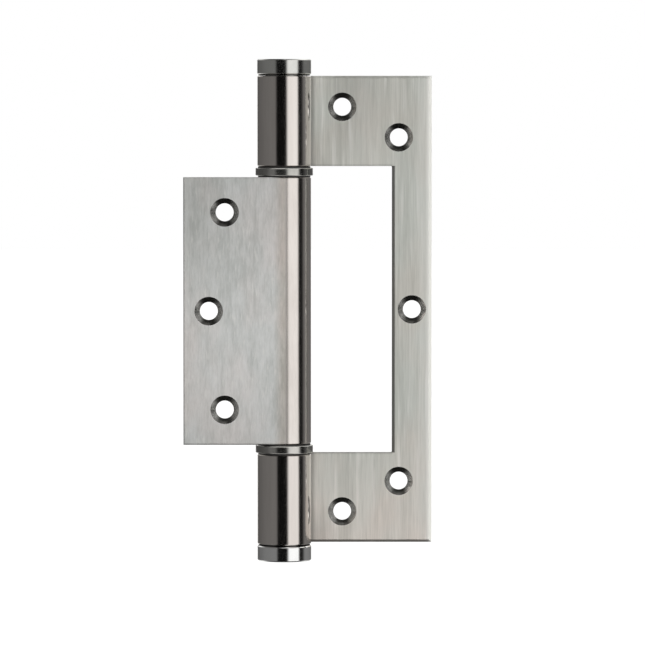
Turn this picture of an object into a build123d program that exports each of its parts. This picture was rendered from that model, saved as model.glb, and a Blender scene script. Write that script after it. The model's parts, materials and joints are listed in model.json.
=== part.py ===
from build123d import *
import math
import os

# Self-closing butt hinge, shown lying open flat. Sizes are in millimetres.
# X runs along the leaves, Y goes into the door frame, Z goes up the pin.
# Every piece is drawn round the pin axis at mid height, and set in place at the end.

# Strip that both leaves are rolled from
SHEET = 3.0
KNUCKLE_R = 10.2
SEAM_GAP = 0.25
EDGE_BREAK = 0.4
FACE_BEVEL = 1.0

# Leaves, measured from the pin axis
DOOR_LEAF_H = 101.0
DOOR_LEAF_W = 38.0
WINDOW_CLEAR = 2.9
WINDOW_CORNER = 0.4
STRIP_W = 15.1
ARM_H = 34.25

# Countersunk screw holes
HOLE_D = 6.8
SINK_D = 10.8
INNER_HOLE_X = 22.0
INNER_HOLE_TO_END = 11.75
OUTER_HOLE_TO_EDGE = 12.5
OUTER_HOLE_TO_END = 23.35
MIDDLE_HOLE_TO_EDGE = 7.5
DOOR_HOLE_TO_EDGE = 15.6
DOOR_HOLE_TO_END = 13.25
DOOR_MIDDLE_TO_EDGE = 9.6

# Rings and washers between the knuckles
RING_H = 2.9
RING_PROUD = 0.7
RING_ROUND = 0.3
WASHER_T = 0.5
WASHER_INSET = 0.25

# End caps
CAP_H = 6.15
CAP_PROUD = 0.05
CAP_BREAK = 0.4
CAP_GROOVE = 0.4
NECK_INSET = 0.4
SPIGOT_H = 6.0

# Closing spring
SPRING_TURNS = 9
WIRE_T = 1.8
COIL_GAP = 0.5
TANG_PAST_AXIS = 3.4

# Pieces inside the knuckles
BUSH_H = 16.0
ANCHOR_H = 6.0
SEAT_INSET = 1.0
FLANGE_H = 3.0
LOCK_RING_H = 5.0
HEADROOM = 5.0
BOSS_PAST_RING = 1.0
SOCKET_AF = 5.0
SOCKET_DEPTH = 6.0
SPANNER_SLOT_W = 2.5
SPANNER_SLOT_DEPTH = 1.5
LEAD_IN = 0.6

# Clearances
RUN_CLEAR = 0.05
PRESS_CLEAR = 0.03
FREE_CLEAR = 0.4
SPRING_CLEAR = 0.5
KEY_CLEAR = 0.1
AXIAL_PLAY = 0.1

# Heights and radii that follow from the sizes above
BORE_R = KNUCKLE_R - SHEET
RING_GAP = RING_H + 2 * WASHER_T + AXIAL_PLAY
DOOR_END = DOOR_LEAF_H / 2
KNUCKLE_END = DOOR_END + RING_GAP
LEAF_END = KNUCKLE_END + ARM_H
WINDOW_W = DOOR_LEAF_W + WINDOW_CLEAR
FRAME_LEAF_W = WINDOW_W + STRIP_W
LIP_ANGLE = math.degrees(math.asin((BORE_R - SEAM_GAP) / KNUCKLE_R))
PLUG_R = BORE_R - PRESS_CLEAR
COIL_R = BORE_R - SPRING_CLEAR - WIRE_T / 2
JOURNAL_R = COIL_R - WIRE_T / 2 - FREE_CLEAR
LOOSE_R = JOURNAL_R + FREE_CLEAR
BUSH_END = DOOR_END - BUSH_H
ANCHOR_TOP = ANCHOR_H - BUSH_END
SPRING_FOOT = ANCHOR_TOP + AXIAL_PLAY
SPRING_TOP = BUSH_END - AXIAL_PLAY
PITCH = (SPRING_TOP - SPRING_FOOT + COIL_GAP) / (SPRING_TURNS + 1)
WIRE_H = PITCH - COIL_GAP
SLOT_W = WIRE_T + 2 * KEY_CLEAR
SLOT_DEPTH = WIRE_H + KEY_CLEAR
LOCK_RING_TOP = LEAF_END - SPIGOT_H - HEADROOM
LOCK_RING_FOOT = LOCK_RING_TOP - LOCK_RING_H
SEAT_FOOT = KNUCKLE_END + SEAT_INSET
FLANGE_TOP = LOCK_RING_FOOT - WASHER_T - AXIAL_PLAY
FLANGE_FOOT = FLANGE_TOP - FLANGE_H


def tube(outer_r, inner_r, foot, height):
    """A plain ring standing on the given height."""
    face = Circle(outer_r) - Circle(inner_r)
    return Pos(0, 0, foot) * extrude(face, height)


def rod(radius, foot, height):
    """A plain round bar standing on the given height."""
    return Pos(0, 0, foot) * extrude(Circle(radius), height)


def rolled_blank(width, height):
    """Strip rolled into a barrel round the pin axis, its plate running to +X behind the axis."""
    turn = 270 + LIP_ANGLE
    lip = Vector(math.cos(math.radians(LIP_ANGLE)), math.sin(math.radians(LIP_ANGLE)))
    outline = Curve() + [
        CenterArc((0, 0), KNUCKLE_R, 90, turn),
        Line(lip * KNUCKLE_R, lip * BORE_R),
        CenterArc((0, 0), BORE_R, 90, turn),
        Polyline((0, BORE_R), (width, BORE_R), (width, KNUCKLE_R), (0, KNUCKLE_R)),
    ]
    return Pos(0, 0, -height / 2) * extrude(make_face(outline), height)


def screw_hole(x, z, face_y, into):
    """Cutter for one countersunk hole, opening on the plate face at face_y and running along Y."""
    hole_r = HOLE_D / 2
    sink_r = SINK_D / 2
    section = make_face(
        Polyline(
            (0, 0),
            (sink_r, 0),
            (hole_r, sink_r - hole_r),
            (hole_r, 2 * SHEET),
            (0, 2 * SHEET),
            close=True,
        )
    )
    cutter = revolve(section, Axis.Y)
    if into < 0:
        cutter = Rot(180, 0, 0) * cutter
    return Pos(x, face_y, z) * cutter


def break_edges(leaf):
    """Chamfer the knuckle ends and the outline of the plate's outer face."""
    picked = []
    for edge in leaf.edges():
        middle = edge @ 0.5
        straight = edge.geom_type == GeomType.LINE and edge.length > SHEET and middle.X > 1
        if straight and abs(middle.Y - KNUCKLE_R) < 1e-4:
            picked.append(edge)
        elif edge.geom_type == GeomType.CIRCLE and abs(edge.radius - KNUCKLE_R) < 1e-4:
            picked.append(edge)
    return chamfer(picked, EDGE_BREAK)


def bevel_bars():
    """Square bars on their corners, which cut the bevel round the frame leaf's front and along its window."""
    side = FACE_BEVEL * math.sqrt(2)
    end_length = FRAME_LEAF_W - KNUCKLE_R
    window_bar = Rot(0, 0, 45) * Box(side, side, 2 * KNUCKLE_END)
    edge_bar = Rot(0, 0, 45) * Box(side, side, 2 * (LEAF_END + SHEET))
    end_bar = Rot(45, 0, 0) * Box(end_length, side, side)
    end_x = FRAME_LEAF_W - end_length / 2
    return [
        Pos(WINDOW_W, BORE_R, 0) * window_bar,
        Pos(FRAME_LEAF_W, BORE_R, 0) * edge_bar,
        Pos(end_x, BORE_R, LEAF_END) * end_bar,
        Pos(end_x, BORE_R, -LEAF_END) * end_bar,
    ]


def seam_key(foot, height):
    """Rib that fills the notch inside a rolled seam, so that a plug can't turn in its knuckle."""
    angle = math.radians(LIP_ANGLE)
    reach = BORE_R + 0.6 * SHEET
    along = Vector(math.cos(angle), math.sin(angle))
    aside = Vector(-math.sin(angle), math.cos(angle)) * KEY_CLEAR
    near = along * (BORE_R - SHEET / 3) + aside
    far = along * reach + aside
    back = BORE_R - KEY_CLEAR
    rib = make_face(Polyline(near, far, (far.X, back), (BORE_R / 3, back), close=True))
    return Pos(0, 0, foot) * extrude(rib, height)


def make_frame_leaf():
    leaf = rolled_blank(FRAME_LEAF_W, 2 * LEAF_END)
    leaf -= cut_window()
    leaf = break_edges(leaf) - bevel_bars()
    inner_z = LEAF_END - INNER_HOLE_TO_END
    outer_x = FRAME_LEAF_W - OUTER_HOLE_TO_EDGE
    outer_z = LEAF_END - OUTER_HOLE_TO_END
    places = [
        (INNER_HOLE_X, inner_z),
        (INNER_HOLE_X, -inner_z),
        (outer_x, outer_z),
        (outer_x, -outer_z),
        (FRAME_LEAF_W - MIDDLE_HOLE_TO_EDGE, 0),
    ]
    for x, z in places:
        leaf -= screw_hole(x, z, BORE_R, 1)
    return leaf


def cut_window():
    """Cutter that parts the knuckles and opens the window, from past the barrel to the strip."""
    past = 2 * KNUCKLE_R
    width = WINDOW_W + past
    opening = Plane.XZ * Rectangle(width, 2 * KNUCKLE_END)
    cutter = Pos(WINDOW_W - width / 2, 0, 0) * extrude(opening, past, both=True)
    corners = cutter.edges().filter_by(Axis.Y).sort_by(Axis.X)[-2:]
    return fillet(corners, WINDOW_CORNER)


def make_door_leaf():
    leaf = break_edges(rolled_blank(DOOR_LEAF_W, DOOR_LEAF_H))
    side_x = DOOR_LEAF_W - DOOR_HOLE_TO_EDGE
    side_z = DOOR_END - DOOR_HOLE_TO_END
    places = [(side_x, side_z), (side_x, -side_z), (DOOR_LEAF_W - DOOR_MIDDLE_TO_EDGE, 0)]
    for x, z in places:
        leaf -= screw_hole(x, z, KNUCKLE_R, -1)
    return Rot(0, 0, 180) * leaf


def make_cap(seat_gap):
    """Turned cap for the upper knuckle: a head, a neck that leaves a groove under it, and a spigot."""
    foot = LEAF_END + seat_gap
    head = rod(KNUCKLE_R + CAP_PROUD, foot + CAP_GROOVE, CAP_H - CAP_GROOVE)
    head = chamfer(head.edges().filter_by(GeomType.CIRCLE), CAP_BREAK)
    neck = rod(KNUCKLE_R - NECK_INSET, foot, CAP_GROOVE)
    spigot = rod(BORE_R - RUN_CLEAR, LEAF_END - SPIGOT_H, SPIGOT_H + seat_gap)
    return head + neck + spigot


def make_bearing_ring(foot):
    """Ring with rounded rims, a little proud of the knuckles."""
    ring = tube(KNUCKLE_R + RING_PROUD, LOOSE_R, foot, RING_H)
    rims = ring.edges().filter_by(GeomType.CIRCLE).sort_by(SortBy.RADIUS)[-2:]
    return fillet(rims, RING_ROUND)


def make_washer(foot):
    return tube(KNUCKLE_R - WASHER_INSET, LOOSE_R, foot, WASHER_T)


def make_spring():
    """Flat-wire torsion spring, each end bent in across the axis as a tang."""
    first = SPRING_FOOT + WIRE_H / 2
    rise = PITCH * SPRING_TURNS
    path = Helix(PITCH, rise, COIL_R, center=(0, 0, first))
    section = Plane(path @ 0, x_dir=(1, 0, 0), z_dir=path % 0) * Rectangle(WIRE_T, WIRE_H)
    coil = sweep(section, path=path, is_frenet=True)
    length = TANG_PAST_AXIS + COIL_R
    tang = Pos(COIL_R - length / 2, 0, 0) * Box(length, WIRE_T, WIRE_H)
    return coil + Pos(0, 0, first) * tang + Pos(0, 0, first + rise) * tang


def make_anchor():
    """Plug keyed in the door leaf's seam, with a slotted post that holds the spring's lower tang."""
    foot = -BUSH_END
    plug = rod(PLUG_R, foot, ANCHOR_H) + Rot(0, 0, 180) * seam_key(foot, ANCHOR_H)
    post_h = 1.5 * SLOT_DEPTH
    post = rod(JOURNAL_R, ANCHOR_TOP, post_h)
    post = chamfer(post.edges().filter_by(GeomType.CIRCLE).sort_by(Axis.Z)[-1], LEAD_IN)
    slot_foot = SPRING_FOOT - KEY_CLEAR
    slot = Pos(0, 0, slot_foot + post_h) * Box(4 * BORE_R, SLOT_W, 2 * post_h)
    return plug + (post - slot)


def make_spindle():
    """Tension spindle: hexagon socket on top, flange, journal, and a slotted tail for the upper tang."""
    tail = SPRING_TOP - 1.5 * SLOT_DEPTH
    top = LOCK_RING_TOP + BOSS_PAST_RING
    bar = rod(JOURNAL_R, tail, top - tail)
    bar = chamfer(bar.edges().filter_by(GeomType.CIRCLE), LEAD_IN)
    bar += rod(BORE_R - FREE_CLEAR, FLANGE_FOOT, FLANGE_H)
    socket = extrude(RegularPolygon(SOCKET_AF / 2, 6, major_radius=False), -SOCKET_DEPTH)
    bar -= Pos(0, 0, top) * socket
    slot_top = SPRING_TOP + KEY_CLEAR
    slot = Pos(0, 0, slot_top - 2 * WIRE_H) * Box(4 * BORE_R, SLOT_W, 4 * WIRE_H)
    return bar - slot


def make_seat():
    """Collar keyed in the upper knuckle's seam, under the spindle's flange."""
    height = FLANGE_FOOT - AXIAL_PLAY - SEAT_FOOT
    collar = rod(PLUG_R, SEAT_FOOT, height) + seam_key(SEAT_FOOT, height)
    return collar - rod(JOURNAL_R + RUN_CLEAR, SEAT_FOOT - 1, height + 2)


def make_lock_ring():
    """Ring for the upper knuckle, with two slots on its face for a pin spanner."""
    ring = tube(PLUG_R, LOOSE_R, LOCK_RING_FOOT, LOCK_RING_H)
    slot = Box(4 * BORE_R, SPANNER_SLOT_W, 2 * SPANNER_SLOT_DEPTH)
    return ring - Pos(0, 0, LOCK_RING_TOP) * slot


def make_lower_pivot():
    """Pivot pin: a body keyed in the lower knuckle's seam, and a journal up into the door leaf."""
    body_foot = -LOCK_RING_FOOT
    body_h = -SEAT_FOOT - body_foot
    body = rod(PLUG_R, body_foot, body_h) + seam_key(body_foot, body_h)
    journal_top = -BUSH_END - AXIAL_PLAY
    journal = rod(JOURNAL_R, -SEAT_FOOT, journal_top + SEAT_FOOT)
    rim = journal.edges().filter_by(GeomType.CIRCLE).sort_by(Axis.Z)[-1]
    return body + chamfer(rim, LEAD_IN)


def turned_over(piece):
    """The same piece for the other end of the hinge."""
    return Rot(180, 0, 0) * piece


lower_washer_foot = -KNUCKLE_END
lower_ring_foot = lower_washer_foot + WASHER_T

pieces = {
    "frame_leaf": make_frame_leaf(),
    "door_leaf": make_door_leaf(),
    "top_cap": make_cap(AXIAL_PLAY),
    "bottom_cap": turned_over(make_cap(AXIAL_PLAY)),
    "upper_bearing_ring": make_bearing_ring(DOOR_END + WASHER_T),
    "lower_bearing_ring": make_bearing_ring(lower_ring_foot),
    "upper_ring_top_washer": make_washer(DOOR_END + WASHER_T + RING_H),
    "upper_ring_bottom_washer": make_washer(DOOR_END),
    "lower_ring_top_washer": make_washer(lower_ring_foot + RING_H),
    "lower_ring_bottom_washer": make_washer(lower_washer_foot),
    "closing_spring": make_spring(),
    "spring_anchor": make_anchor(),
    "tension_spindle": make_spindle(),
    "spindle_seat": make_seat(),
    "spindle_friction_washer": tube(BORE_R - FREE_CLEAR, LOOSE_R, LOCK_RING_FOOT - WASHER_T, WASHER_T),
    "upper_lock_ring": make_lock_ring(),
    "upper_bush": tube(PLUG_R, JOURNAL_R + RUN_CLEAR, BUSH_END, BUSH_H),
    "lower_bush": tube(PLUG_R, JOURNAL_R + RUN_CLEAR, -DOOR_END, BUSH_H),
    "lower_pivot": make_lower_pivot(),
    "lower_lock_ring": turned_over(make_lock_ring()),
}

# The origin is midway between the frame leaf's two inner screws, on the face that lies on the door frame
in_place = Pos(-INNER_HOLE_X, -KNUCKLE_R, 0)

os.makedirs("parts", exist_ok=True)
for name, piece in pieces.items():
    placed = in_place * piece
    placed.label = name
    export_step(placed, f"parts/{name}.step")
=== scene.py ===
import bpy
import bmesh
import json
import math
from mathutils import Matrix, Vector


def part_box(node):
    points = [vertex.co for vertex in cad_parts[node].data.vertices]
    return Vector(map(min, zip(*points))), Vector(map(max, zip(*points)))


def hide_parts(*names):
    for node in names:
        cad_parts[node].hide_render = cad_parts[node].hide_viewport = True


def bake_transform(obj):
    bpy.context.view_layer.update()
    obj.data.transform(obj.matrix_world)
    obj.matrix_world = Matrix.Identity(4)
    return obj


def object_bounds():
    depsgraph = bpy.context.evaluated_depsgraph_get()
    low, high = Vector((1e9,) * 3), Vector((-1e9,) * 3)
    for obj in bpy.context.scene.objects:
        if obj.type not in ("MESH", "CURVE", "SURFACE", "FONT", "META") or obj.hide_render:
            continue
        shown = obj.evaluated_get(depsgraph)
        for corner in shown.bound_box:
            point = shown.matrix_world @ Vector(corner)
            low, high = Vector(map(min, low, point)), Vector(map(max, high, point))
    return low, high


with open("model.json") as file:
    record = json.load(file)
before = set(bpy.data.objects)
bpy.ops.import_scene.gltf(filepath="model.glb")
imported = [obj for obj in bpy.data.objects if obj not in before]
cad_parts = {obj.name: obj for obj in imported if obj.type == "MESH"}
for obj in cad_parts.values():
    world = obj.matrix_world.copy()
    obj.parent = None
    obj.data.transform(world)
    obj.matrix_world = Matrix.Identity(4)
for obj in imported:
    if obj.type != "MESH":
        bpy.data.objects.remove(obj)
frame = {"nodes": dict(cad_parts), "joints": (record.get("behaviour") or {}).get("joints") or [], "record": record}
cad_low, cad_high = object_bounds()

scene = bpy.context.scene
scene.view_settings.view_transform = "Standard"
parts = frame["nodes"]

# Places and sizes in the part's own frame, in metres
PIN_X, PIN_Y, _ = frame["joints"][0]["pos_m"]
KNUCKLE_R = 0.0102
STRIP = 0.003
SINK_R = 0.0054
WINDOW_EDGE = 0.0409
WINDOW_HALF = 0.0545
EDGE_BEVEL = 0.001
CAP_GROOVE = 0.0005
NECK_SIDE = 0.0088
SPRING_TURNS = 9
COIL_GAP = 0.0005
_, leaf_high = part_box("frame_leaf")
free_edge = leaf_high.x - PIN_X
spring_low, spring_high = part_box("closing_spring")
pitch = (spring_high.z - spring_low.z + COIL_GAP) / (SPRING_TURNS + 1)
wire_height = pitch - COIL_GAP


def add_node(tree, kind, **settings):
    """A new node with the given properties set."""
    node = tree.nodes.new(kind)
    for key, value in settings.items():
        setattr(node, key, value)
    return node


def math_node(tree, operation, first, second=None):
    """A maths node fed by sockets or numbers."""
    node = add_node(tree, "ShaderNodeMath", operation=operation)
    for index, value in enumerate((first, second)):
        if value is None:
            continue
        if isinstance(value, (int, float)):
            node.inputs[index].default_value = value
        else:
            tree.links.new(value, node.inputs[index])
    return node.outputs[0]


def stretched_noise(tree, scale, detail, roughness):
    """Noise in the piece's own coordinates, stretched by a scale for each axis, per metre."""
    place = add_node(tree, "ShaderNodeTexCoord")
    mapping = add_node(tree, "ShaderNodeMapping")
    mapping.inputs["Scale"].default_value = scale
    tree.links.new(place.outputs["Object"], mapping.inputs["Vector"])
    noise = add_node(tree, "ShaderNodeTexNoise")
    noise.inputs["Scale"].default_value = 1.0
    noise.inputs["Detail"].default_value = detail
    noise.inputs["Roughness"].default_value = roughness
    tree.links.new(mapping.outputs["Vector"], noise.inputs["Vector"])
    return noise.outputs["Fac"]


def spread(tree, value, low, high, to_low, to_high, smooth=False):
    """Map a value from one range to another, held at the ends."""
    node = add_node(tree, "ShaderNodeMapRange")
    node.interpolation_type = "SMOOTHSTEP" if smooth else "LINEAR"
    node.inputs["From Min"].default_value = low
    node.inputs["From Max"].default_value = high
    node.inputs["To Min"].default_value = to_low
    node.inputs["To Max"].default_value = to_high
    tree.links.new(value, node.inputs["Value"])
    return node.outputs["Result"]


def colour_mix(tree, factor, first, second, blend="MIX"):
    """Blend two colours, given as sockets or numbers, by a factor socket."""
    node = add_node(tree, "ShaderNodeMix", data_type="RGBA", blend_type=blend)
    tree.links.new(factor, node.inputs["Factor"])
    sockets = [s for s in node.inputs if s.type == "RGBA"]
    for socket, value in zip(sockets, (first, second)):
        if isinstance(value, tuple):
            socket.default_value = (*value, 1.0)
        else:
            tree.links.new(value, socket)
    return [s for s in node.outputs if s.type == "RGBA"][0]


def tint(tree, factor, colour, times):
    """Multiply a colour by another one, as far as a factor socket says."""
    return colour_mix(tree, factor, colour, times, "MULTIPLY")


def number_mix(tree, factor, first, second):
    """Mix two number sockets by a factor socket."""
    node = add_node(tree, "ShaderNodeMix", data_type="FLOAT")
    tree.links.new(factor, node.inputs["Factor"])
    sockets = [s for s in node.inputs if s.type == "VALUE" and s.name in ("A", "B")]
    tree.links.new(first, sockets[0])
    tree.links.new(second, sockets[1])
    return [s for s in node.outputs if s.type == "VALUE"][0]


def line_place(tree, point, kept_axes):
    """A surface's offset from a point of a line, and its distance from the line, over the axes kept."""
    place = add_node(tree, "ShaderNodeTexCoord")
    shift = add_node(tree, "ShaderNodeVectorMath", operation="SUBTRACT")
    shift.inputs[1].default_value = point
    flatten = add_node(tree, "ShaderNodeVectorMath", operation="MULTIPLY")
    flatten.inputs[1].default_value = kept_axes
    length = add_node(tree, "ShaderNodeVectorMath", operation="LENGTH")
    tree.links.new(place.outputs["Object"], shift.inputs[0])
    tree.links.new(shift.outputs[0], flatten.inputs[0])
    tree.links.new(flatten.outputs[0], length.inputs[0])
    return shift.outputs[0], length.outputs["Value"]


def pin_place(tree):
    """Where a surface lies from the pin axis, in metres: across, along Y, up, and the distance."""
    offset, distance = line_place(tree, (PIN_X, PIN_Y, 0.0), (1.0, 1.0, 0.0))
    split = add_node(tree, "ShaderNodeSeparateXYZ")
    tree.links.new(offset, split.inputs[0])
    return split.outputs["X"], split.outputs["Y"], split.outputs["Z"], distance


def screw_holes(leaf):
    """Centres of a leaf's screw holes, across and up, from the record's mounts."""
    for mount in frame["record"]["mounts"]:
        if mount["kind"] == "bolt_pattern" and mount["name"].startswith(leaf):
            half = mount["dims"].get("spacing_y_mm", 0) / 2000
            for height in sorted({half, -half}):
                yield mount["pos_m"][0], height


def hole_distance(tree, holes):
    """Distance from the axis of the nearest screw hole, in metres."""
    nearest = None
    for x, z in holes:
        _, distance = line_place(tree, (x, 0.0, z), (1.0, 0.0, 1.0))
        nearest = distance if nearest is None else math_node(tree, "MINIMUM", nearest, distance)
    return nearest


def facing(tree, axis):
    """How far a surface faces along an axis of its own piece, either way, from 0 to 1."""
    place = add_node(tree, "ShaderNodeTexCoord")
    split = add_node(tree, "ShaderNodeSeparateXYZ")
    tree.links.new(place.outputs["Normal"], split.inputs[0])
    return math_node(tree, "ABSOLUTE", split.outputs[axis])


def turned_from(tree, axis):
    """0 where a surface faces along an axis of its own piece, and 1 where it clearly doesn't."""
    return spread(tree, facing(tree, axis), 0.85, 0.95, 1.0, 0.0)


def grain_tangent(tree, shader):
    """Stretch the highlight across a grain that runs up the piece, tipped to suit level edges too."""
    geometry = add_node(tree, "ShaderNodeNewGeometry")
    cross = add_node(tree, "ShaderNodeVectorMath", operation="CROSS_PRODUCT")
    cross.inputs[1].default_value = (0.0, 0.1, 1.0)
    tree.links.new(geometry.outputs["Normal"], cross.inputs[0])
    tree.links.new(cross.outputs[0], shader.inputs["Tangent"])


def bump(tree, shader, height, strength, distance):
    """Roughen a shader's surface by a height socket."""
    node = add_node(tree, "ShaderNodeBump")
    node.inputs["Strength"].default_value = strength
    node.inputs["Distance"].default_value = distance
    tree.links.new(height, node.inputs["Height"])
    tree.links.new(node.outputs["Normal"], shader.inputs["Normal"])


def new_material(name, metallic):
    """A material with its node tree and its shader."""
    material = bpy.data.materials.new(name)
    material.use_nodes = True
    tree = material.node_tree
    shader = tree.nodes["Principled BSDF"]
    shader.inputs["Metallic"].default_value = metallic
    return material, tree, shader


def steel_tone(tree, marks, clouds, fine):
    """Uneven tone of brushed steel, from 0 to 1: long marks, clouds and fine grain together."""
    coarse = stretched_noise(tree, marks, 4.0, 0.7)
    cloud = stretched_noise(tree, clouds, 2.0, 0.5)
    tone = math_node(tree, "MULTIPLY", fine, 0.15)
    for noise, share in ((coarse, 0.55), (cloud, 0.30)):
        tone = math_node(tree, "ADD", tone, math_node(tree, "MULTIPLY", noise, share))
    return spread(tree, tone, 0.39, 0.61, 0.0, 1.0)


def plate_steel(tree, tone, marks, dark, light):
    """Colour of a satin plate: its uneven tone, a warm tinge in places, and light flecks."""
    colour = colour_mix(tree, tone, dark, light)
    tinge = stretched_noise(tree, (60.0, 60.0, 35.0), 2.0, 0.5)
    colour = tint(tree, spread(tree, tinge, 0.40, 0.65, 0.0, 1.0), colour, (1.03, 0.985, 0.975))
    flecks = stretched_noise(tree, tuple(2.5 * share for share in marks), 2.0, 0.5)
    return colour_mix(tree, spread(tree, flecks, 0.58, 0.74, 0.0, 0.5), colour, (0.97, 0.97, 0.95))


def shade_frame_plate(tree, colour, across, up, from_pin, not_end):
    """Painted shade and painted light on the frame leaf, added to a plate colour."""
    # Painted shade: a darker head, though not beside the barrel and less towards the free edge
    head = spread(tree, up, 0.045, 0.088, 0.0, 1.0)
    head = math_node(tree, "MULTIPLY", head, spread(tree, across, 0.015, 0.0235, 0.0, 1.0))
    head = math_node(tree, "MULTIPLY", head, spread(tree, across, 0.031, 0.0375, 1.0, 0.2))
    colour = tint(tree, head, colour, (0.78, 0.78, 0.78))

    # Painted light: a lighter, warm foot, with painted shade at its heel beside the barrel
    foot = spread(tree, up, -0.045, -0.085, 0.0, 1.0)
    colour = tint(tree, foot, colour, (1.20, 1.125, 1.12))
    heel = spread(tree, up, -0.074, -0.084, 0.0, 1.0)
    heel = math_node(tree, "MULTIPLY", heel, spread(tree, across, 0.014, 0.022, 1.0, 0.0))
    colour = tint(tree, heel, colour, (0.82, 0.82, 0.82))

    # Painted shade in the crease beside the barrel
    crease_shade = spread(tree, from_pin, 0.0124, 0.0142, 0.55, 0.0, True)
    crease_shade = math_node(tree, "MULTIPLY", crease_shade, not_end)
    colour = colour_mix(tree, crease_shade, colour, (0.10, 0.10, 0.10))

    # Painted highlight along the free edge, with a faint band beside it
    rim = spread(tree, across, free_edge - 0.0034, free_edge - 0.0002, 0.0, 1.0, True)
    wide_rim = spread(tree, across, free_edge - 0.0060, free_edge - 0.0030, 0.0, 0.22, True)
    rim = math_node(tree, "MAXIMUM", rim, wide_rim)
    colour = colour_mix(tree, rim, colour, (0.97, 0.975, 0.95))

    # Painted shade on the bevel along the window, and a thin line of painted shade all round it
    bevel_end = WINDOW_EDGE + EDGE_BEVEL
    beside_window = spread(tree, across, bevel_end, bevel_end + 0.0003, 1.0, 0.0)
    height = math_node(tree, "ABSOLUTE", up)
    within_window = spread(tree, height, WINDOW_HALF, WINDOW_HALF + 0.0002, 1.0, 0.0)
    window_bevel_shade = math_node(tree, "MULTIPLY", beside_window, within_window)
    colour = tint(tree, window_bevel_shade, colour, (0.45, 0.45, 0.46))
    window_line_shade = spread(tree, height, WINDOW_HALF + 0.0004, WINDOW_HALF + 0.0009, 1.0, 0.0)
    at_window = spread(tree, across, WINDOW_EDGE, WINDOW_EDGE + 0.0005, 1.0, 0.0)
    window_line_shade = math_node(tree, "MULTIPLY", window_line_shade, at_window)
    window_line_shade = math_node(tree, "MULTIPLY", window_line_shade, not_end)
    return tint(tree, window_line_shade, colour, (0.80, 0.80, 0.80))


def shade_door_plate(tree, colour, reach, up):
    """Painted shade on the door leaf, added to a plate colour."""
    # Painted shade: a darker head
    head = spread(tree, up, 0.005, 0.050, 0.0, 1.0)
    colour = tint(tree, head, colour, (0.84, 0.84, 0.84))

    # Painted shade: a darker free edge, most of all at the upper corner
    corner = spread(tree, reach, 0.018, 0.034, 0.0, 1.0, True)
    corner = math_node(tree, "MULTIPLY", corner, spread(tree, up, -0.005, 0.030, 0.35, 1.0, True))
    colour = tint(tree, corner, colour, (0.86, 0.86, 0.85))

    # Painted shade: a darker foot
    foot = spread(tree, up, -0.025, -0.050, 0.0, 1.0)
    return tint(tree, foot, colour, (0.90, 0.90, 0.90))


def satin_steel(leaf, plate_side, marks, clouds, dark, light):
    """Brushed stainless leaf: satin plate, smoother barrel and countersinks with painted light and shade."""
    material, tree, shader = new_material(leaf + "_steel", 1.0)
    across, along, up, from_pin = pin_place(tree)
    fine = stretched_noise(tree, (2600.0, 2600.0, 120.0), 3.0, 0.6)
    tone = steel_tone(tree, marks, clouds, fine)

    # The plate begins where the strip leaves the barrel, and the strip's cut ends have its finish too
    reach = math_node(tree, "MULTIPLY", across, plate_side)
    outward = math_node(tree, "MULTIPLY", along, plate_side)
    bore_r = KNUCKLE_R - STRIP
    off_barrel = spread(tree, from_pin, KNUCKLE_R, KNUCKLE_R + 0.0003, 0.0, 1.0, True)
    past_bend = spread(tree, reach, -0.0020, 0.0003, 0.0, 1.0, True)
    on_strip = spread(tree, outward, bore_r, bore_r + 0.0008, 0.0, 1.0)
    plate = math_node(tree, "MAXIMUM", off_barrel, math_node(tree, "MULTIPLY", past_bend, on_strip))
    not_end = turned_from(tree, "Z")
    plate = math_node(tree, "MAXIMUM", plate, math_node(tree, "SUBTRACT", 1.0, not_end))
    near_hole = spread(tree, hole_distance(tree, screw_holes(leaf)), SINK_R, SINK_R + 0.0001, 1.0, 0.0)
    sunk = math_node(tree, "MULTIPLY", near_hole, turned_from(tree, "Y"))

    plate_colour = plate_steel(tree, tone, marks, dark, light)
    bend = spread(tree, reach, 0.0002, 0.0045, 1.0, 0.0, True)
    bend = math_node(tree, "MULTIPLY", bend, not_end)
    plate_colour = tint(tree, bend, plate_colour, (0.86, 0.81, 0.77))
    if leaf == "frame":
        plate_colour = shade_frame_plate(tree, plate_colour, across, up, from_pin, not_end)
    else:
        plate_colour = shade_door_plate(tree, plate_colour, reach, up)
    barrel_colour = colour_mix(tree, tone, (0.615, 0.58, 0.555), (0.69, 0.655, 0.63))
    colour = colour_mix(tree, plate, barrel_colour, plate_colour)
    # Painted light and shade in the countersinks: lighter on walls facing sideways, darker above and below
    sunk_light_and_shade = spread(tree, facing(tree, "X"), 0.28, 0.64, 0.0, 1.0, True)
    sunk_colour = colour_mix(tree, sunk_light_and_shade, (0.18, 0.18, 0.17), (0.78, 0.78, 0.76))
    colour = colour_mix(tree, sunk, colour, sunk_colour)
    tree.links.new(colour, shader.inputs["Base Color"])

    plate_rough = spread(tree, tone, 0.0, 1.0, 0.54, 0.44)
    if leaf == "frame":
        # The bevel along the free edge is linished, and rougher
        bevel_start = free_edge - EDGE_BEVEL
        linished = spread(tree, across, bevel_start - 0.0003, bevel_start, 0.0, 1.0)
        plate_rough = number_mix(tree, linished, plate_rough, spread(tree, tone, 0.0, 1.0, 0.85, 0.75))
    barrel_rough = spread(tree, fine, 0.3, 0.7, 0.09, 0.14)
    sunk_rough = spread(tree, fine, 0.3, 0.7, 0.15, 0.25)
    rough = number_mix(tree, plate, barrel_rough, plate_rough)
    tree.links.new(number_mix(tree, sunk, rough, sunk_rough), shader.inputs["Roughness"])
    shader.inputs["Anisotropic"].default_value = 0.3
    grain_tangent(tree, shader)
    bump(tree, shader, fine, 0.12, 0.00003)
    return material


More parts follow.
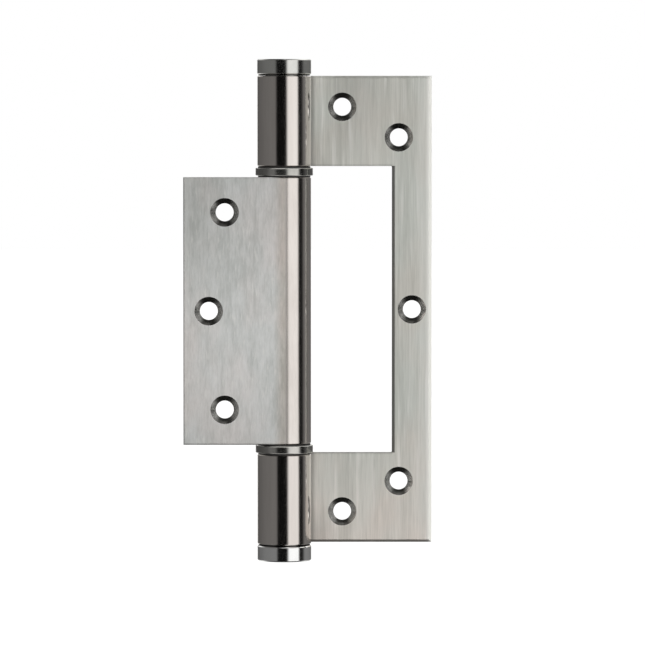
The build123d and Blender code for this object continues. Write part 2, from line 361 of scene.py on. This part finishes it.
def polished_steel(name, dark, light, smooth, rough, groove=None, sides=None):
    """Turned and polished stainless with faint tool lines.

    Painted shade fills a cap's groove up to the given height, and darkens a ring's sides to the given share.
    """
    material, tree, shader = new_material(name, 1.0)
    lines = stretched_noise(tree, (150.0, 150.0, 5200.0), 2.0, 0.5)
    patch = stretched_noise(tree, (160.0, 160.0, 120.0), 3.0, 0.5)
    colour = colour_mix(tree, spread(tree, patch, 0.35, 0.65, 0.0, 1.0), dark, light)
    if groove:
        _, _, up, from_pin = pin_place(tree)
        height = math_node(tree, "ABSOLUTE", up)
        low_enough = spread(tree, height, groove, groove + 0.00005, 1.0, 0.0)
        on_neck = spread(tree, from_pin, NECK_SIDE, NECK_SIDE + 0.0002, 0.0, 1.0)
        # Painted shade, near black, in the groove under the cap's head
        groove_shade = math_node(tree, "MULTIPLY", low_enough, on_neck)
        colour = colour_mix(tree, groove_shade, colour, (0.02, 0.02, 0.02))
    if sides:
        # Painted shade: the ring's sides darker than its front
        off_front = spread(tree, facing(tree, "X"), 0.45, 0.62, 0.0, 1.0, True)
        colour = tint(tree, off_front, colour, (sides, sides, sides))
    tree.links.new(colour, shader.inputs["Base Color"])
    tree.links.new(spread(tree, lines, 0.3, 0.7, smooth, rough), shader.inputs["Roughness"])
    bump(tree, shader, lines, 0.06, 0.00002)
    return material


def bearing_plastic():
    """Dark, slightly waxy bearing plastic."""
    material, tree, shader = new_material("bearing_plastic", 0.0)
    grain = stretched_noise(tree, (1400.0, 1400.0, 1400.0), 3.0, 0.6)
    colour = colour_mix(tree, grain, (0.010, 0.010, 0.011), (0.026, 0.025, 0.025))
    tree.links.new(colour, shader.inputs["Base Color"])
    tree.links.new(spread(tree, grain, 0.3, 0.7, 0.42, 0.58), shader.inputs["Roughness"])
    bump(tree, shader, grain, 0.1, 0.00002)
    return material


def turned_metal(name, dark, light):
    """Plain turned metal for the pieces inside the knuckles."""
    material, tree, shader = new_material(name, 1.0)
    lines = stretched_noise(tree, (220.0, 220.0, 3800.0), 2.0, 0.5)
    colour = colour_mix(tree, spread(tree, lines, 0.3, 0.7, 0.0, 1.0), dark, light)
    tree.links.new(colour, shader.inputs["Base Color"])
    tree.links.new(spread(tree, lines, 0.3, 0.7, 0.26, 0.40), shader.inputs["Roughness"])
    bump(tree, shader, lines, 0.15, 0.00003)
    return material


def dress(material, *names):
    """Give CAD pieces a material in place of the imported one."""
    for name in names:
        mesh = parts[name].data
        mesh.materials.clear()
        mesh.materials.append(material)


groove = leaf_high.z + CAP_GROOVE
dress(
    satin_steel(
        "frame",
        plate_side=1,
        marks=(230.0, 230.0, 12.0),
        clouds=(90.0, 90.0, 9.0),
        dark=(0.515, 0.536, 0.503),
        light=(0.79, 0.816, 0.775),
    ),
    "frame_leaf",
)
dress(
    satin_steel(
        "door",
        plate_side=-1,
        marks=(370.0, 370.0, 85.0),
        clouds=(75.0, 75.0, 32.0),
        dark=(0.596, 0.617, 0.607),
        light=(0.905, 0.925, 0.925),
    ),
    "door_leaf",
)
dress(
    polished_steel("top_cap_steel", (0.56, 0.57, 0.555), (0.64, 0.645, 0.625), 0.10, 0.16, groove),
    "top_cap",
)
# The bottom cap is the same steel as the top cap, painted lighter, as painted light
dress(
    polished_steel("bottom_cap_steel", (0.80, 0.81, 0.815), (0.86, 0.87, 0.875), 0.08, 0.13, groove),
    "bottom_cap",
)
dress(
    polished_steel("ring_steel", (0.42, 0.42, 0.40), (0.53, 0.525, 0.505), 0.14, 0.20, sides=0.68),
    "upper_bearing_ring",
    "lower_bearing_ring",
)
dress(
    bearing_plastic(),
    "upper_ring_top_washer",
    "upper_ring_bottom_washer",
    "lower_ring_top_washer",
    "lower_ring_bottom_washer",
    "spindle_friction_washer",
)
dress(turned_metal("spring_steel", (0.20, 0.20, 0.21), (0.30, 0.30, 0.31)), "closing_spring")
dress(
    turned_metal("turned_steel", (0.46, 0.46, 0.46), (0.58, 0.58, 0.57)),
    "spring_anchor",
    "tension_spindle",
    "spindle_seat",
    "upper_lock_ring",
    "lower_pivot",
    "lower_lock_ring",
)
dress(turned_metal("bush_bronze", (0.50, 0.34, 0.17), (0.66, 0.48, 0.27)), "upper_bush", "lower_bush")

# The closing spring in two halves, so that each can twist. Its wire is cut at mid length.
MIDDLE_TURN = SPRING_TURNS / 2
QUARTER_TURN = 0.25
WELD = 1e-7
SHARP_ANGLE = math.radians(30)


def turn_of(face):
    """How many turns up the spring's wire a face lies."""
    place = face.calc_center_median()
    share = math.atan2(place.y - PIN_Y, place.x - PIN_X) / math.tau
    height = (place.z - spring_low.z - wire_height / 2) / pitch
    return share + round(height - share)


def half_coil(name, upper):
    """Mesh of the spring's upper or lower half, closed where the wire is cut."""
    coil = bmesh.new()
    coil.from_mesh(parts["closing_spring"].data)
    bmesh.ops.remove_doubles(coil, verts=coil.verts, dist=WELD)
    faces = [face for face in coil.faces if abs(turn_of(face) - MIDDLE_TURN) < QUARTER_TURN]
    edges = {edge for face in faces for edge in face.edges}
    corners = {corner for face in faces for corner in face.verts}
    bmesh.ops.bisect_plane(
        coil,
        geom=[*corners, *edges, *faces],
        dist=WELD,
        plane_co=(PIN_X, PIN_Y, 0.0),
        plane_no=(0.0, 1.0, 0.0),
    )
    other = [face for face in coil.faces if (turn_of(face) > MIDDLE_TURN) != upper]
    bmesh.ops.delete(coil, geom=other, context="FACES")
    bmesh.ops.holes_fill(coil, edges=[edge for edge in coil.edges if edge.is_boundary])
    mesh = bpy.data.meshes.new(name)
    coil.to_mesh(mesh)
    coil.free()
    mesh.attributes.remove(mesh.attributes["custom_normal"])
    mesh.shade_smooth()
    mesh.set_sharp_from_angle(angle=SHARP_ANGLE)
    mesh.materials.append(parts["closing_spring"].data.materials[0])
    return mesh


def spring_half(name, upper):
    """Half of the spring, as its own object; in the hinge it twists from the frame to a body at its tang."""
    half = bpy.data.objects.new(name, half_coil(name, upper))
    scene.collection.objects.link(half)
    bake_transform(half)
    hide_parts("closing_spring")


# In the hinge, the lower tang turns with the door leaf and the upper tang with the tension spindle
spring_half("closing_spring_lower", False)
spring_half("closing_spring_upper", True)

# White studio seen by the camera. The steel and the light see panels that stand round the object instead:
# a ring of dark and bright panels at its own height, soft panels above it, and a mix of both below it.
# Each level is a direction round the object, in degrees from the front, and a brightness.
RING_LEVELS = (
    (-180, 0.90),
    (-166, 0.90),
    (-158, 0.10),
    (-125, 0.155),
    (-83, 0.195),
    (-40, 0.21),
    (-29, 0.004),
    (6, 0.004),
    (19, 1.17),
    (56, 1.17),
    (66, 0.015),
    (77, 0.015),
    (98, 0.22),
    (158, 0.17),
    (166, 0.90),
    (180, 0.90),
)
SOFT_LEVELS = (
    (-180, 0.90),
    (-150, 0.90),
    (-125, 0.15),
    (-70, 0.15),
    (-46, 1.72),
    (72, 1.72),
    (83, 0.15),
    (98, 0.15),
    (110, 1.50),
    (140, 1.50),
    (160, 0.90),
    (180, 0.90),
)
PANEL_TINT = (1.0, 0.985, 0.965)
PANEL_LEAN = 0.96
BRIGHTEST = 2.4
OVERHEAD_SHARE = 0.41
UNDERFOOT_SHARE = 0.10
SOFT_SHARE_BELOW = 0.5

# Heights of the ring's edge and of where the soft panels are whole, as sines of the elevation
RING_EDGE = 0.17
SOFT_EDGE = 0.30


def panel_ramp(tree, turn, levels):
    """Panel colour by the direction round the object, as a share of the brightest."""
    ramp = add_node(tree, "ShaderNodeValToRGB")
    ramp.color_ramp.interpolation = "EASE"
    stops = ramp.color_ramp.elements
    while len(stops) > 1:
        stops.remove(stops[-1])
    for index, (angle, level) in enumerate(levels):
        place = angle / 360 + 0.5
        stop = stops[0] if index == 0 else stops.new(place)
        stop.position = place
        stop.color = (*(level / BRIGHTEST * share for share in PANEL_TINT), 1.0)
    tree.links.new(spread(tree, turn, -math.pi, math.pi, 0.0, 1.0), ramp.inputs["Fac"])
    return ramp.outputs["Color"]


world = bpy.data.worlds.new("studio")
scene.world = world
world.use_nodes = True
sky = world.node_tree
sky.nodes.clear()
direction = add_node(sky, "ShaderNodeTexCoord")
split = add_node(sky, "ShaderNodeSeparateXYZ")
sky.links.new(direction.outputs["Generated"], split.inputs["Vector"])
height = split.outputs["Z"]
ahead = math_node(sky, "MULTIPLY", split.outputs["Y"], -1.0)
turn = math_node(sky, "ARCTAN2", split.outputs["X"], ahead)
leaning_turn = math_node(sky, "ADD", turn, math_node(sky, "MULTIPLY", height, PANEL_LEAN))
above_ring = spread(sky, height, RING_EDGE, SOFT_EDGE, 0.0, 1.0, True)
below_ring = spread(sky, height, -SOFT_EDGE, -RING_EDGE, SOFT_SHARE_BELOW, 0.0, True)
off_ring = math_node(sky, "MAXIMUM", above_ring, below_ring)
ring = panel_ramp(sky, leaning_turn, RING_LEVELS)
panels = colour_mix(sky, off_ring, ring, panel_ramp(sky, turn, SOFT_LEVELS))
studio = add_node(sky, "ShaderNodeBackground")
sky.links.new(panels, studio.inputs["Color"])
overhead = spread(sky, height, 0.72, 0.95, BRIGHTEST, OVERHEAD_SHARE * BRIGHTEST, True)
underfoot = spread(sky, height, -0.9, -0.6, UNDERFOOT_SHARE, 1.0, True)
sky.links.new(math_node(sky, "MULTIPLY", overhead, underfoot), studio.inputs["Strength"])
white = add_node(sky, "ShaderNodeBackground")
white.inputs["Color"].default_value = (1.0, 1.0, 1.0, 1.0)
rays = add_node(sky, "ShaderNodeLightPath")
choose = add_node(sky, "ShaderNodeMixShader")
sky.links.new(rays.outputs["Is Camera Ray"], choose.inputs["Fac"])
sky.links.new(studio.outputs[0], choose.inputs[1])
sky.links.new(white.outputs[0], choose.inputs[2])
out = add_node(sky, "ShaderNodeOutputWorld")
sky.links.new(choose.outputs[0], out.inputs["Surface"])

# Plain pale floor, well below the hinge, which is fixed to a door frame and never stands on it
FLOOR_REACH = 12.0
FLOOR_DROP = 0.22
FLOOR_GLOW = 1.2
FLOOR_GLOW_SHARE = 0.75
floor_mesh = bpy.data.meshes.new("floor")
level = cad_low.z - FLOOR_DROP
square = ((-1, -1), (1, -1), (1, 1), (-1, 1))
floor_mesh.from_pydata([(x * FLOOR_REACH, y * FLOOR_REACH, level) for x, y in square], [], [(0, 1, 2, 3)])
floor = bpy.data.objects.new("floor", floor_mesh)
scene.collection.objects.link(floor)
floor_material, floor_tree, floor_shader = new_material("floor", 0.0)
floor_shader.inputs["Base Color"].default_value = (0.86, 0.86, 0.86, 1.0)
floor_shader.inputs["Roughness"].default_value = 0.9
floor_white = add_node(floor_tree, "ShaderNodeEmission")
floor_white.inputs["Strength"].default_value = FLOOR_GLOW
floor_rays = add_node(floor_tree, "ShaderNodeLightPath")
floor_mix = add_node(floor_tree, "ShaderNodeMixShader")
floor_share = math_node(floor_tree, "MULTIPLY", floor_rays.outputs["Is Camera Ray"], FLOOR_GLOW_SHARE)
floor_tree.links.new(floor_share, floor_mix.inputs["Fac"])
floor_tree.links.new(floor_shader.outputs[0], floor_mix.inputs[1])
floor_tree.links.new(floor_white.outputs[0], floor_mix.inputs[2])
floor_tree.links.new(floor_mix.outputs[0], floor_tree.nodes["Material Output"].inputs["Surface"])
floor_mesh.materials.append(floor_material)
floor.visible_glossy = False

# Camera at the photograph's angle: square on, a little above mid height
FRAME_WIDTH = 0.2445
DISTANCE = 2.0
ELEVATION = math.radians(2.4)
SENSOR = 36.0
AIM_X = -0.0075
AIM_Z = -0.0047
FAR_END = 60.0
target = Vector((AIM_X, PIN_Y, AIM_Z))
camera_data = bpy.data.cameras.new("camera")
camera_data.sensor_width = SENSOR
camera_data.lens = SENSOR * DISTANCE / FRAME_WIDTH
camera_data.clip_end = FAR_END
camera = bpy.data.objects.new("camera", camera_data)
scene.collection.objects.link(camera)
camera.location = target + DISTANCE * Vector((0.0, -math.cos(ELEVATION), math.sin(ELEVATION)))
camera.rotation_euler = (math.pi / 2 - ELEVATION, 0.0, 0.0)
scene.camera = camera
